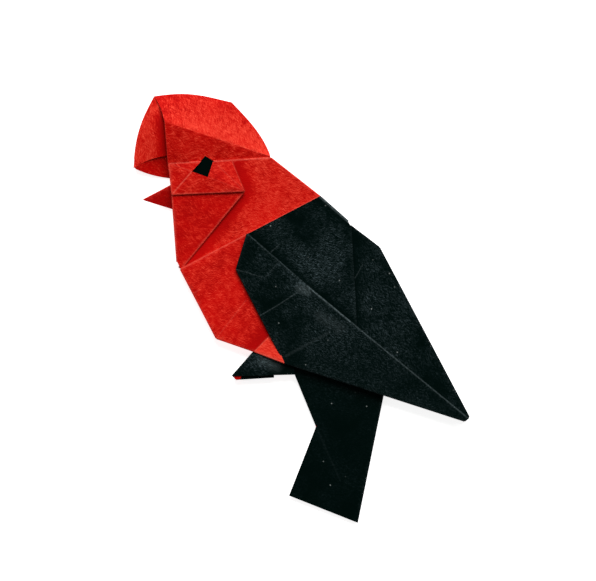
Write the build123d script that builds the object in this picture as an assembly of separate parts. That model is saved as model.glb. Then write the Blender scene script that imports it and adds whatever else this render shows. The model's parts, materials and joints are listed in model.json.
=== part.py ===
"""A bird folded from one square of two-coloured paper, pressed flat and lying on its side.

The plan is drawn as it is seen from above: the head is up the page and the tail is down it.
Every corner is reached from the one before it by an edge length and a heading.
The sheet lies in layers on both sides of a middle plane, and bends join the layers at the folds.
Lengths are in millimetres and angles in degrees, and headings turn anticlockwise from +X.
"""
from build123d import *
import os
from math import cos, hypot, isclose, radians, sin, tan

# The sheet and how it is pressed
paper = 0.2                  # thickness of the sheet
air = 0.1                    # air left between two pressed layers
pitch = paper + air          # from one layer to the next
fold_inside = 0.06           # largest inside radius of a pressed fold
pleat_depth = 3.0            # how far a pleat runs in under the layer above it
lap = 1.0                    # how far a layer runs in under the edge that covers it
corner_gap = 0.3             # room kept between two corners that meet at one level

# How far the upper half springs open, while the lower half is pressed flat on the table
head_spring = 3.5            # head, hinged at the shoulder line
throat_spring = 1.5          # throat flap, hinged at its front edge
wing_lower_spring = 0.8      # lower wing flap, hinged at its lower edge
wing_upper_spring = 0.6      # upper wing flap, hinged at the back
wing_back_spring = 0.5       # back wing flap, hinged at the back edge of the wing
belly_spring = 4.0           # small belly facet, hinged at its crease
eye_lift = 0.4               # cheek's facets where they meet at the eye
crest_height = 5.0           # crest's side crease above the middle plane
crest_crown = 0.45           # how far the crest's top facets belly out
crest_front_gap = 0.8        # gap between the crest's side edge and its front facet
crest_front_lift = 1.3       # lower back corner of the crest's front facet
pressed_front_lift = 0.2     # the same corner on the pressed side

# Body and breast
shoulder_length = 20.4
shoulder_heading = 27.6
breast_top_length = 18.9
breast_front_length = 19.7
breast_front_heading = -62.6
belly_length = 9.8
belly_heading = -17.9
belly_crease_length = 6.1
belly_crease_heading = 45.5

# Wing
wing_front_length = 9.3
wing_front_heading = -107.1
wing_breast_length = 26.15
wing_breast_heading = -62.7
wing_lower_length = 49.6
wing_lower_heading = -18.0
wing_back_length = 49.8
wing_back_heading = 118.1
wing_tip_cut = 2.0           # how far from its sharp corner the tip of the wing is blunted
wing_top_length = 9.1
wing_top_heading = 142.2
wing_layer_length = 25.2
wing_layer_heading = -86.9
back_length = 9.5
back_heading = -41.5

# Neck and head
neck_back_length = 15.5
neck_back_heading = 142.0
brow_length = 25.4
brow_heading = -176.7
cheek_front_length = 7.7
cheek_front_heading = -84.4
throat_front_length = 17.0
throat_front_heading = -85.9
cheek_low_length = 18.1
cheek_low_heading = 2.6
cheek_back_length = 15.6     # brow's front corner to the cheek's back edge
eye_front_length = 6.0
eye_front_heading = -19.0
eye_low_length = 4.25
eye_low_heading = -19.6
eye_top_length = 5.1
eye_top_heading = 49.8
eye_brow_front = 7.8         # brow's front corner to where the eye's front edge meets the brow
eye_brow_back = 10.9         # brow's front corner to the eye's back corner

# Beak
beak_drop = 5.6              # brow's front corner down to the beak's top edge
beak_length = 7.7
beak_heading = -152.9
beak_low_length = 7.7
beak_low_heading = -17.1
beak_root = 5.0              # how far the beak runs in behind the face

# Crest
crest_back_length = 17.1
crest_back_heading = 125.3
crest_back_bow = 1.0
crest_top_length = 19.3
crest_top_heading = 175.6
crest_top_bow = 1.2
crest_front_length = 18.7
crest_front_heading = -106.2
crest_front_bow = 1.15
crest_chin_length = 9.4
crest_chin_heading = -15.5
crest_chin_bow = 0.4
crest_peak_length = 6.95     # crest's front corner to the front end of its side crease
crest_peak_heading = -67.6
crest_ridge_setback = 0.5    # side crease's back end from the back corner of the brow
crest_front_low_length = 9.5
crest_front_low_heading = 20.7

# Foot and tail
toe_length = 8.4
toe_heading = -131.6
foot_length = 15.6
foot_heading = 1.5
foot_root = 9.0              # how far the foot runs up inside the body
sole_front_length = 1.5
sole_front_heading = -38.2
sole_length = 9.3
sole_heading = 3.5
sole_root = 5.0              # how far the second layer of the foot runs up along the first
tail_neck_length = 11.7
tail_neck_heading = -30.5
tail_front_length = 14.0
tail_front_heading = -67.7
tail_low_length = 18.5
tail_low_heading = -111.4
tail_end_length = 18.3
tail_end_heading = -21.7
tail_back_length = 32.7
tail_back_heading = 78.5
tail_root = 7.0              # how far the tail runs up inside the body

# Layers counted outwards from the middle plane
crest_layer, crest_pleat_layer, neck_layer, throat_layer, eye_layer, cheek_layer = range(6)
toe_layer, foot_layer, body_layer, wing_back_layer, wing_upper_layer, wing_lower_layer = range(2, 8)
body_pleat_layer = foot_layer
tail_layer = beak_layer = crest_layer


def step(start, length, heading):
    """The corner reached from another by an edge of this length and heading."""
    turn = radians(heading)
    return (start[0] + length * cos(turn), start[1] + length * sin(turn))


def toward(start, end, distance):
    """The point this far along the line from start to end."""
    share = distance / hypot(end[0] - start[0], end[1] - start[1])
    return (start[0] + share * (end[0] - start[0]), start[1] + share * (end[1] - start[1]))


# Corners of the plan, from the wing's front corner at the shoulder
shoulder = (0.0, 0.0)
nape = step(shoulder, shoulder_length, shoulder_heading)
throat_tip = step(shoulder, -breast_top_length, shoulder_heading)
breast_low = step(throat_tip, breast_front_length, breast_front_heading)
belly_point = step(breast_low, belly_length, belly_heading)
belly_rise = step(belly_point, belly_crease_length, belly_crease_heading)

wing_front = step(shoulder, wing_front_length, wing_front_heading)
wing_heel = step(wing_front, wing_breast_length, wing_breast_heading)
wing_tip = step(wing_heel, wing_lower_length, wing_lower_heading)
wing_crown = step(wing_tip, wing_back_length, wing_back_heading)
wing_tip_low = toward(wing_tip, wing_heel, wing_tip_cut)
wing_tip_back = toward(wing_tip, wing_crown, wing_tip_cut)
wing_notch = step(wing_crown, wing_top_length, wing_top_heading)
wing_layer_end = step(wing_notch, wing_layer_length, wing_layer_heading)
back_end = step(nape, back_length, back_heading)

brow_back = step(nape, neck_back_length, neck_back_heading)
brow_front = step(brow_back, brow_length, brow_heading)
cheek_front = step(brow_front, cheek_front_length, cheek_front_heading)
jaw = step(cheek_front, throat_front_length, throat_front_heading)
cheek_tip = step(cheek_front, cheek_low_length, cheek_low_heading)
cheek_top = toward(brow_front, brow_back, cheek_back_length)
eye_front = step(brow_front, eye_front_length, eye_front_heading)
eye_low = step(eye_front, eye_low_length, eye_low_heading)
eye_top = step(eye_front, eye_top_length, eye_top_heading)
eye_brow = toward(brow_front, brow_back, eye_brow_front)
eye_back = toward(brow_front, brow_back, eye_brow_back)

beak_top = toward(brow_front, cheek_front, beak_drop)
beak_tip = step(beak_top, beak_length, beak_heading)
beak_low = step(beak_tip, beak_low_length, beak_low_heading)

crest_back = step(brow_back, crest_back_length, crest_back_heading)
crest_front = step(crest_back, crest_top_length, crest_top_heading)
crest_nose = step(crest_front, crest_front_length, crest_front_heading)
crest_chin = step(crest_nose, crest_chin_length, crest_chin_heading)
crest_peak = step(crest_front, crest_peak_length, crest_peak_heading)
crest_front_low = step(crest_nose, crest_front_low_length, crest_front_low_heading)

toe = step(belly_point, toe_length, toe_heading)
foot_back = step(toe, foot_length, foot_heading)
sole_front = step(toe, sole_front_length, sole_front_heading)
sole_back = step(sole_front, sole_length, sole_heading)
tail_top = step(belly_point, tail_neck_length, tail_neck_heading)
tail_waist = step(tail_top, tail_front_length, tail_front_heading)
tail_low = step(tail_waist, tail_low_length, tail_low_heading)
tail_end = step(tail_low, tail_end_length, tail_end_heading)
tail_root_front = step(tail_top, -tail_root, tail_front_heading)
tail_root_back = step(tail_end, tail_back_length + tail_root, tail_back_heading)


def level(layer):
    """Height of a pressed layer's inner face above the middle plane."""
    return air / 2 + layer * pitch


def beside(point, start, end):
    """Distance of a point to the left of the line from start to end."""
    run = (end[0] - start[0], end[1] - start[1])
    reach = (point[0] - start[0], point[1] - start[1])
    return (run[0] * reach[1] - run[1] * reach[0]) / hypot(*run)


class Layer:
    """One flat layer of the sheet: its place in the stack and the hinges that it springs open at."""

    def __init__(self, layer, *hinges):
        self.layer = layer
        self.hinges = hinges

    def height(self, point):
        """Height of the inner face at a point of the plan."""
        rises = [tan(radians(spring)) * beside(point, start, end) for start, end, spring in self.hinges]
        return level(self.layer) + sum(rises)

    def at(self, point, lift=0.0):
        """The point of the plan put on this layer's inner face, or this far above it."""
        return (*point, self.height(point) + lift)

    def panel(self, *corners):
        """A flat panel of paper between corners of the plan."""
        return sheet([self.at(corner) for corner in corners])


def sheet(corners):
    """Paper of one thickness standing on a flat polygon."""
    return extrude(Face(Wire.make_polygon(corners)), amount=paper, dir=(0, 0, 1))


def skin(edge, other_edge):
    """Paper of one thickness standing on the ruled surface between two edges."""
    surface = Face.make_surface_from_curves(edge.edge(), other_edge.edge())
    return extrude(surface, amount=paper, dir=(0, 0, 1))


def bend_section(place, outward, run, low, high):
    """Half ring of paper across a fold, from one layer's inner face to another's outer face."""
    half = (high + paper - low) / 2
    radius = min(paper + fold_inside, half)
    ring = SlotOverall(2 * half, 2 * radius, rotation=90)
    ring -= SlotOverall(2 * (half - paper), 2 * (radius - paper), rotation=90)
    outer_half = ring & Pos(radius / 2, 0) * Rectangle(radius, 2 * half)
    return Plane((*place, low + half), x_dir=outward, z_dir=run) * outer_half


def bend(start, end, low, high):
    """The bend on the right hand of a fold line, between two layers given by their height functions."""
    run = Vector(end[0] - start[0], end[1] - start[1], 0)
    outward = (run.Y, -run.X, 0)
    first, last = [bend_section(at, outward, run, low(at), high(at)) for at in (start, end)]
    rise = low(end) - low(start)
    if isclose(high(end) - high(start), rise, abs_tol=air * air):
        slope = run + Vector(0, 0, rise)
        return extrude(first, amount=slope.length, dir=slope)
    return loft([first, last], ruled=True)


def pleat(start, end, under, middle, over, heading):
    """A pleat along a fold line: a hidden return layer with a bend at each of its long edges."""
    deep_start = step(start, pleat_depth, heading)
    deep_end = step(end, pleat_depth, heading)
    top_bend = bend(start, end, middle.height, over.height)
    low_bend = bend(deep_end, deep_start, under.height, middle.height)
    return [middle.panel(start, end, deep_end, deep_start), top_bend, low_bend]


def bowed(start, end, bow, height):
    """A level arc from start to end, bowed out to the right by this much."""
    half_way = ((start[0] + end[0]) / 2, (start[1] + end[1]) / 2)
    run = (end[0] - start[0], end[1] - start[1])
    share = bow / hypot(*run)
    crown = (half_way[0] + share * run[1], half_way[1] - share * run[0])
    return ThreePointArc((*start, height), (*crown, height), (*end, height))


def crest_outline(height):
    """The crest's edge in the middle plane: back, top, front and chin."""
    back = bowed(brow_back, crest_back, crest_back_bow, height)
    top = bowed(crest_back, crest_front, crest_top_bow, height)
    front = bowed(crest_front, crest_nose, crest_front_bow, height)
    chin = bowed(crest_nose, crest_chin, crest_chin_bow, height)
    return back, top, front, chin


class Half:
    """One side of the bird, built upwards from the middle plane."""

    def __init__(self, spring, ridge_height, front_lift):
        """Spring is 1 where the paper opens and 0 where it is pressed flat."""
        self.ridge_height = ridge_height
        self.front_lift = front_lift
        self.spring = spring
        head = (throat_tip, nape, spring * head_spring)
        throat = (cheek_front, jaw, spring * throat_spring)
        self.crest_under = Layer(crest_layer, head)
        self.crest_return = Layer(crest_pleat_layer, head)
        self.neck = Layer(neck_layer, head)
        self.throat = Layer(throat_layer, head, throat)
        self.eye = Layer(eye_layer, head, throat)
        self.cheek = Layer(cheek_layer, head)
        self.body_return = Layer(body_pleat_layer)
        self.body = Layer(body_layer)
        self.belly = Layer(body_layer, (belly_rise, belly_point, spring * belly_spring))
        self.wing_back = Layer(wing_back_layer, (wing_tip, wing_crown, spring * wing_back_spring))
        self.wing_upper = Layer(wing_upper_layer, (back_end, nape, spring * wing_upper_spring))
        self.wing_lower = Layer(wing_lower_layer, (wing_heel, wing_tip, spring * wing_lower_spring))
        self.foot = Layer(foot_layer)
        self.toe = Layer(toe_layer)
        self.tail = Layer(tail_layer)
        self.beak = Layer(beak_layer)

    def below(self, layer):
        """Height function of a layer of this half once the half is turned over."""
        return lambda point: -layer.height(point) - paper

    def crest(self):
        """Raised crest: two bellied top facets, a side facet and a front facet that it overlaps."""
        back, top, front, _ = crest_outline(-paper / 2)
        peak = Vector(*crest_peak, self.ridge_height)
        ridge_back = toward(brow_back, crest_peak, crest_ridge_setback)
        ridge_end = Vector(*self.crest_under.at(ridge_back, air))
        ridge = Line(peak, ridge_end)
        ridge_middle = ridge @ (crest_top_length / (crest_top_length + crest_back_length))
        swell = Vector(0, 0, self.spring * crest_crown)
        belly_front = (top @ 1 + peak) / 2 + swell
        belly_middle = (top @ 0 + ridge_middle) / 2 + swell
        belly_back = (back @ 0 + ridge_end) / 2
        brow = Line(self.crest_under.at(brow_front), self.crest_under.at(brow_back))
        hidden_top = (*toward(crest_front, crest_peak, lap), paper)
        hidden_peak = (crest_peak[0] + lap, crest_peak[1], self.ridge_height - crest_front_gap - paper)
        hidden_low = (*crest_front_low, self.front_lift)
        return [
            skin(top, Line(belly_middle, belly_front)),
            skin(Line(belly_middle, belly_front), Line(ridge_middle, peak)),
            skin(back, Line(belly_back, belly_middle)),
            skin(Line(belly_back, belly_middle), Line(ridge_end, ridge_middle)),
            skin(ridge, brow),
            skin(front, ThreePointArc(hidden_top, hidden_peak, hidden_low)),
        ]

    def head(self):
        """Neck panel with the crest pleated in under its brow, throat flap, black eye and red cheek."""
        pleat_front = toward(brow_front, brow_back, corner_gap)
        deep_front = step(pleat_front, pleat_depth, brow_heading + 90)
        deep_back = step(brow_back, pleat_depth, brow_heading + 90)
        neck_low_front = toward(throat_tip, nape, lap)
        neck_deep_front = step(neck_low_front, pleat_depth, shoulder_heading - 90)
        neck_deep_back = step(nape, pleat_depth, shoulder_heading - 90)
        throat_start = toward(cheek_front, jaw, corner_gap)
        throat_end = toward(throat_tip, cheek_tip, corner_gap + paper + fold_inside)
        return [
            self.crest_under.panel(pleat_front, brow_back, deep_back, deep_front),
            *pleat(brow_back, pleat_front, self.crest_under, self.crest_return, self.neck, brow_heading + 90),
            self.neck.panel(brow_front, cheek_front, jaw, neck_low_front, neck_deep_front, neck_deep_back,
                            nape, brow_back),
            self.throat.panel(throat_start, jaw, throat_end, cheek_tip),
            bend(throat_start, jaw, self.neck.height, self.throat.height),
            self.eye.panel(eye_top, eye_back, cheek_tip, cheek_front, eye_front),
            bend(cheek_front, cheek_tip, self.eye.height, self.cheek_edge),
            *self.cheek_facets(),
            bend(brow_front, cheek_front, self.neck.height, self.cheek.height),
        ]

    def cheek_edge(self, point):
        """Height of the cheek's lower edge, one layer out from the eye's black layer."""
        return self.eye.height(point) + pitch

    def cheek_facets(self):
        """Cheek facets round the eye."""
        brow = [self.cheek.at(point) for point in (brow_front, eye_brow, eye_back, cheek_top)]
        near_eye = [self.cheek.at(point, self.spring * eye_lift) for point in (eye_front, eye_low)]
        low_front, low_back = [self.eye.at(point, pitch) for point in (cheek_front, cheek_tip)]
        return [
            sheet([brow[0], brow[1], near_eye[0]]),
            sheet([brow[0], near_eye[0], low_front]),
            sheet([low_front, near_eye[0], near_eye[1]]),
            sheet([low_front, near_eye[1], low_back]),
            sheet([near_eye[1], brow[2], low_back]),
            sheet([brow[2], brow[3], low_back]),
        ]

    def trunk(self):
        """Breast and body panel, pleated over the neck, and the belly facet over the foot."""
        pleat_front = toward(throat_tip, nape, lap)
        belly_corner = toward(wing_heel, belly_rise, corner_gap)
        return [
            self.body.panel(throat_tip, breast_low, belly_point, belly_rise, wing_heel, wing_tip_low,
                            wing_tip_back, wing_crown, wing_notch, back_end, nape),
            *pleat(nape, pleat_front, self.neck, self.body_return, self.body, shoulder_heading - 90),
            self.belly.panel(belly_point, belly_corner, belly_rise),
        ]

    def wing(self):
        """Three black flaps turned back over the body: lower, upper and back."""
        shoulder_under = toward(shoulder, wing_front, lap)
        layer_under = step(wing_layer_end, lap, wing_layer_heading)
        notch_under = step(wing_notch, lap, wing_top_heading)
        return [
            self.wing_lower.panel(shoulder, wing_front, wing_heel, wing_tip_low, wing_tip_back),
            bend(wing_heel, wing_tip_low, self.body.height, self.wing_lower.height),
            self.wing_upper.panel(nape, shoulder, shoulder_under, layer_under, wing_notch, back_end),
            bend(back_end, nape, self.body.height, self.wing_upper.height),
            self.wing_back.panel(notch_under, layer_under, wing_tip_low, wing_tip_back, wing_crown),
            bend(wing_tip_back, wing_crown, self.body.height, self.wing_back.height),
        ]

    def foot_and_tail(self):
        """Lining turned in along the breast that comes out as the foot, and the tail's layer."""
        lining_top = toward(throat_tip, breast_low, pleat_depth + lap)
        foot_top = step(foot_back, foot_root, tail_back_heading)
        sole_top = toward(toe, belly_point, sole_root)
        sole_inner = step(sole_back, sole_root, tail_back_heading)
        lining_edge = [lining_top, breast_low, belly_point]
        folds = zip(lining_edge, lining_edge[1:])
        return [
            self.foot.panel(*lining_edge, toe, foot_back, foot_top),
            *[bend(start, end, self.foot.height, self.body.height) for start, end in folds],
            self.toe.panel(sole_top, toe, sole_front, sole_back, sole_inner),
            bend(sole_top, toe, self.toe.height, self.foot.height),
            self.tail.panel(tail_root_front, tail_waist, tail_low, tail_end, tail_root_back),
            bend(tail_root_back, tail_root_front, self.tail.height, self.body.height),
        ]

    def beak_side(self):
        """One side of the beak, held by a bend behind the face."""
        root_top = (beak_top[0] + beak_root, beak_top[1])
        root_low = (root_top[0], beak_low[1])
        return [
            self.beak.panel(beak_tip, beak_low, root_low, root_top, beak_top),
            bend(root_low, root_top, self.beak.height, self.neck.height),
        ]

    def build(self):
        """All the paper of this half."""
        return [
            *self.crest(),
            *self.head(),
            *self.trunk(),
            *self.wing(),
            *self.foot_and_tail(),
            *self.beak_side(),
        ]


def middle_folds(upper, lower):
    """The folds that join both halves: crest edge, neck, beak and tail, with the crest's inner facet."""
    outline = crest_outline(0)
    crest_edge = extrude(trace(outline, line_width=2 * paper), amount=paper, both=True)
    chin = bowed(crest_nose, crest_chin, crest_chin_bow, -paper / 2)
    inner_top = (*step(crest_front_low, lap, crest_front_low_heading + 90), -paper / 2)
    chin_facet = make_face([chin, Line(chin @ 1, inner_top), Line(inner_top, chin @ 0)])
    return [
        crest_edge,
        extrude(chin_facet, amount=paper, dir=(0, 0, 1)),
        bend(nape, brow_back, lower.below(lower.neck), upper.neck.height),
        bend(beak_top, beak_tip, lower.below(lower.beak), upper.beak.height),
        bend(tail_end, tail_root_back, lower.below(lower.tail), upper.tail.height),
    ]


upper_half = Half(1, crest_height, crest_front_lift)
lower_half = Half(0, level(wing_lower_layer), pressed_front_lift)
pieces = upper_half.build()
pieces += [mirror(piece, about=Plane.XY) for piece in lower_half.build()]
pieces += middle_folds(upper_half, lower_half)
folded = Part() + pieces
extent = folded.bounding_box()
bird = Pos(-extent.center().X, -extent.center().Y, -extent.min.Z) * folded

os.makedirs("parts", exist_ok=True)
export_step(bird, "parts/folded_bird.step")
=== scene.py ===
# %% [markdown]
# # A bird folded from one square of two-coloured paper
# The real object is a paper bird with a round red crest, a red breast and black wings. It is one square
# sheet, red on one side and black on the other, so every colour change is a fold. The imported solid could
# be shown as it is, but its panels are flat and its paper is plain. So this file keeps its size and the
# place of every layer, and dresses it as real paper: thin panels that lie in layers, spring open a
# little, and turn round at their folds.

import json
import math

import bmesh
import bpy
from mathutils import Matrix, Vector
from mathutils.geometry import barycentric_transform

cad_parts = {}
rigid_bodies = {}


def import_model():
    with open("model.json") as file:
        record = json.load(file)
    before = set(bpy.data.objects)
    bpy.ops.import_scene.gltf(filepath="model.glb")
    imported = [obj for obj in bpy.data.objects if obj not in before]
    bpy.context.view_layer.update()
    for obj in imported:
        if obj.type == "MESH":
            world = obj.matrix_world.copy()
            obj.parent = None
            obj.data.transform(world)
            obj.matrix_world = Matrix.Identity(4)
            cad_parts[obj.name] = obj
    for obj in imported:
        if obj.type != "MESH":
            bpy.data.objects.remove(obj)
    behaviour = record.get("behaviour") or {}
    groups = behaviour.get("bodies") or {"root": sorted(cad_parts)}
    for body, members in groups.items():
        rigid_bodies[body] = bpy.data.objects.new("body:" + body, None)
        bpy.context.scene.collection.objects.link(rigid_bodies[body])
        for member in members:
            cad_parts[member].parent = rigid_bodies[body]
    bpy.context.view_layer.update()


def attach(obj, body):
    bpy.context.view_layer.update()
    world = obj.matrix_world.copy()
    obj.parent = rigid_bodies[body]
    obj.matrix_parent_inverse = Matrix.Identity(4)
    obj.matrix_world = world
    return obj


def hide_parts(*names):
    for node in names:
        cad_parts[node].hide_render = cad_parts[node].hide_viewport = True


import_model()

# %% [markdown]
# ## Camera
# The photograph looks straight down on the bird, so the camera does too. An orthographic camera would
# keep the layers from leaning outwards, but a photograph is taken with a lens. A long lens from far away
# leans them as little as the photograph does. Its distance follows from the width of paper and table that
# it sees.

# %% Camera
MM = 0.001                        # metres in a millimetre
PIXEL = 0.25                      # millimetres of the bird in one pixel of the photograph
PHOTO_WIDTH = 596                 # pixels
SIGHT_CENTRE = (-0.88, 4.36)      # where the middle of the photograph falls on the bird
SIGHT_HEIGHT = 4.0                # height of most of the paper that the camera sees
LENS = 300.0                      # millimetres
SENSOR = 36.0
NEAREST, FURTHEST = 0.05, 10.0    # metres that the camera can see

camera = bpy.data.objects.new("camera", bpy.data.cameras.new("camera"))
camera.data.lens = LENS
camera.data.sensor_width = SENSOR
distance = PHOTO_WIDTH * PIXEL * LENS / SENSOR
camera.location = Vector((*SIGHT_CENTRE, SIGHT_HEIGHT + distance)) * MM
camera.data.clip_start = NEAREST
camera.data.clip_end = FURTHEST
bpy.context.scene.collection.objects.link(camera)
bpy.context.scene.camera = camera
print(f"camera {distance:.0f} mm above the bird")

# %% [markdown]
# ## Layers
# Pressed paper lies in a stack, and each layer has its own height in it. The stack could be counted from
# the table up, but the bird has two like halves. So heights count outwards from the plane in its middle,
# and the same functions serve the half that faces the camera and the half on the table. A hinge adds the
# little slope by which a flap springs open.

# %% Layers
PAPER = 0.2                       # thickness of the sheet
AIR = 0.1                         # air between two pressed layers
PITCH = PAPER + AIR
TOP_LAYER = 7
MIDDLE = AIR / 2 + TOP_LAYER * PITCH + PAPER


def beside(point, start, end):
    """Distance of a point to the left of the line from start to end."""
    run = end - start
    return run.cross(point.xy - start) / run.length


def stack(layer, *hinges):
    """Height function of a layer, which rises to the left of each hinge line by so many degrees."""
    ground = AIR / 2 + layer * PITCH + PAPER / 2

    def height(point):
        return ground + sum(math.tan(math.radians(rise)) * beside(point, *line) for *line, rise in hinges)

    return height


print(f"middle plane at {MIDDLE:.2f} mm, {PITCH:.1f} mm from layer to layer")

# %% [markdown]
# ## Curves
# Folds are straight, but where the paper is pulled open its edges bow out. A curve object could draw such
# an edge and be turned into a mesh. Half a wave between two corners is simpler: it needs one number, the
# bow, and its points can be used as corners at once. A curve also marks where paper was pressed, so its
# distance counts.

# %% Curves


def bowed(start, end, bow, lean=1.0, steps=14):
    """Points of a shallow curve that bows out to the right; lean shifts its fullest place along."""
    run = end - start
    out = Vector((run.y, -run.x)).normalized()
    shares = [k / steps for k in range(steps + 1)]
    return [start + share * run + bow * math.sin(math.pi * share**lean) * out for share in shares]


def away(point, start, end):
    """Distance of a point from the stretch between start and end."""
    run = end - start
    share = min(max((point.xy - start).dot(run) / run.length_squared, 0), 1)
    return (point.xy - start - share * run).length


def away_from_curve(point, curve):
    """Distance of a point from a curve given by its points."""
    return min(away(point, start, end) for start, end in zip(curve, curve[1:]))


arc = bowed(Vector((0, 0)), Vector((10, 0)), bow=1.0)
print(f"a bowed edge has {len(arc)} points, its middle {away(arc[7], arc[0], arc[-1]):.1f} mm out")

# %% [markdown]
# ## Loose fibres
# The surface of long-fibred paper is smooth where it was pressed and fuzzy where fingers held it, and that
# changes its colour. Fewer loose fibres make the paper darker, so the same amount also carries painted shade
# along edges that cover a panel and in creases. The amount could be painted on the mesh by hand. A function
# of the place does the same, stays right when a panel moves, and says in words where the fibres stand up: 0
# is smooth and 1 is usual.

# %% Loose fibres
DARKENED_WIDTH = 2.2               # fewer fibres stand up this far in from such a curve, and the paper is darker there


def even(amount):
    """The same amount everywhere."""
    return lambda point: amount


def darkened(curve, loose):
    """Fewer loose fibres along a curve, so the paper is darker there: painted shade along covering edges and
    creases.
    """
    def fuzz(point):
        return loose(point) * (1 - math.exp(-(away_from_curve(point, curve) / DARKENED_WIDTH) ** 2))

    return fuzz


def handled(least, most, place, width):
    """Loose fibres that gather round a place where the paper was held."""
    return lambda point: least + (most - least) * math.exp(-((point.xy - place).length / width) ** 2)


print(f"1 mm from a pressed edge {darkened(arc, even(1.0))(Vector((5, -2))):.0%} of the fibres stand up")

# %% [markdown]
# ## Panels
# A panel is the paper between folds. It starts as one polygon between its corners. Cutting it along one
# grid that all panels share gives every fold the same points on both sides, and lifting the points gives
# the panel its height. It could be a subdivided plane trimmed by booleans, but cuts keep the folds
# exactly straight. Faces with many points on the border are fanned round their middle, so that two panels
# never share a whole face.

# %% Panels
CELL = 1.0                        # width of the grid
SNAP = 0.0005                     # points nearer than this to a cut count as on it


class CutPanel:
    """A panel of the sheet with its own small mesh, in millimetres above the middle plane."""

    def __init__(self, corners, height, red_out=True, creases=(), fuzz=even(1.0), lay=even(0.0)):
        self.red_out = red_out
        self.height = height
        self.fuzz = fuzz
        self.lay = lay
        self.mesh = bmesh.new()
        self.base = self.mesh.verts.layers.float_vector.new("base")
        self.worn = self.mesh.verts.layers.float.new("worn")
        self.mesh.faces.new([self.mesh.verts.new((*corner, 0)) for corner in corners])
        for start, end in creases:
            self.cut(start, (start - end).orthogonal())
        for axis in range(2):
            reach = [corner[axis] for corner in corners]
            for line in range(math.ceil(min(reach) / CELL), math.floor(max(reach) / CELL) + 1):
                square = Vector((axis == 0, axis == 1))
                self.cut(line * CELL * square, square)
        bordered = [f for f in self.mesh.faces
                    if len(f.verts) > 3 and sum(v.is_boundary for v in f.verts) > 2]
        bmesh.ops.poke(self.mesh, faces=bordered)
        for vert in self.mesh.verts:
            vert.co.z = height(vert.co)

    def cut(self, point, across):
        """Cuts the panel along a straight line."""
        parts = self.mesh.verts[:] + self.mesh.edges[:] + self.mesh.faces[:]
        bmesh.ops.bisect_plane(self.mesh, geom=parts, dist=SNAP, plane_co=(*point, 0), plane_no=(*across, 0))


square_panel = CutPanel([Vector((0, 0)), Vector((3, 0)), Vector((3, 3)), Vector((0, 3))], stack(0))
print("a panel of 3 mm by 3 mm has", len(square_panel.mesh.faces), "faces")
square_panel.mesh.free()

# %% [markdown]
# ## Folds
# A fold in thick paper is a tight half circle and joins two layers of the stack. A bevel would round a
# sharp edge too, but by one width all along. Here the border is extruded in a few rows round half a
# circle, so a fold can open from one height to another along its length. The rows also note how worn they
# are: most at the outside. A border that is turned under by one layer is a hem, and the lip behind it
# hides where it ends.

# %% Folds
BEND_STEPS = 6
ON_LINE = 0.002                   # points nearer than this to a fold line lie on it
FOLD_REACH = 0.16                 # a pressed fold stands out no further than this
BORDER_WEAR = 0.5                 # wear where a fold begins; 1 is the wear at its outside
HEM_LIP = 2.0


class Panel(CutPanel):
    """A panel whose borders can be turned."""

    def edge_along(self, start, end):
        """The border edges that lie on a fold line."""
        touching = {v for v in self.mesh.verts if away(v.co, start, end) < ON_LINE}
        return [e for e in self.mesh.edges if e.is_boundary and touching.issuperset(e.verts)]

    def outward(self, start, end):
        """Direction square to a fold line that points out of the panel."""
        run = (end - start).normalized()
        centres = [face.calc_center_median().xy for face in self.mesh.faces]
        out = Vector((run.y, -run.x))
        return out if beside(sum(centres, Vector((0, 0))) / len(centres), start, end) > 0 else -out

    def grow(self, edges, place):
        """Extrudes border edges by one row; place gives a new point from where its column started."""
        grown = bmesh.ops.extrude_edge_only(self.mesh, edges=edges)["geom"]
        fresh = {part for part in grown if isinstance(part, bmesh.types.BMVert)}
        for vert in fresh:
            vert.co = place(vert[self.base])
        return [part for part in grown
                if isinstance(part, bmesh.types.BMEdge) and fresh.issuperset(part.verts)]

    def bend(self, start, end, other, lip=0.0):
        """Rolls the border along a fold line round to another height, with an optional lip behind it."""
        edges = self.edge_along(start, end)
        for vert in {v for e in edges for v in e.verts}:
            vert[self.base] = vert.co
            vert[self.worn] = BORDER_WEAR
        out = self.outward(start, end)
        for row in range(1, BEND_STEPS + 1):
            turn = math.pi * row / BEND_STEPS

            def place(base, turn=turn):
                low = other(base)
                width = min(abs(base.z - low) / 2, FOLD_REACH)
                flat = base.xy + width * math.sin(turn) * out
                return Vector((*flat, low + (base.z - low) * (1 + math.cos(turn)) / 2))

            edges = self.grow(edges, place)
            for vert in {v for e in edges for v in e.verts}:
                vert[self.worn] = max(math.sin(turn), 0.0)
        if lip:
            self.grow(edges, lambda base: Vector((*(base.xy - lip * out), other(base))))

    def hem(self, start, end, lip=HEM_LIP):
        """Turns a border under by one layer, as a folded edge looks from outside."""
        self.bend(start, end, lambda base: base.z - PITCH, lip=lip)


print(f"a fold turns in {BEND_STEPS} rows and stands out by {FOLD_REACH} mm")

# %% [markdown]
# ## Joining
# Every panel goes into one sheet, on the near or the far side of the middle plane, with its red face out
# or in. Object > Join would do it for finished objects; in bmesh a panel passes through a small mesh. On
# the way it gets two attributes for the paper material: the direction of its fibres on each face, and
# their looseness on each corner of a face. Such values may jump at a crease, as they do on the paper, and
# values on points can't.

# %% Joining
CORNER_PULL = 0.02                # corners are read this share of the way in, on their own side of a crease


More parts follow.
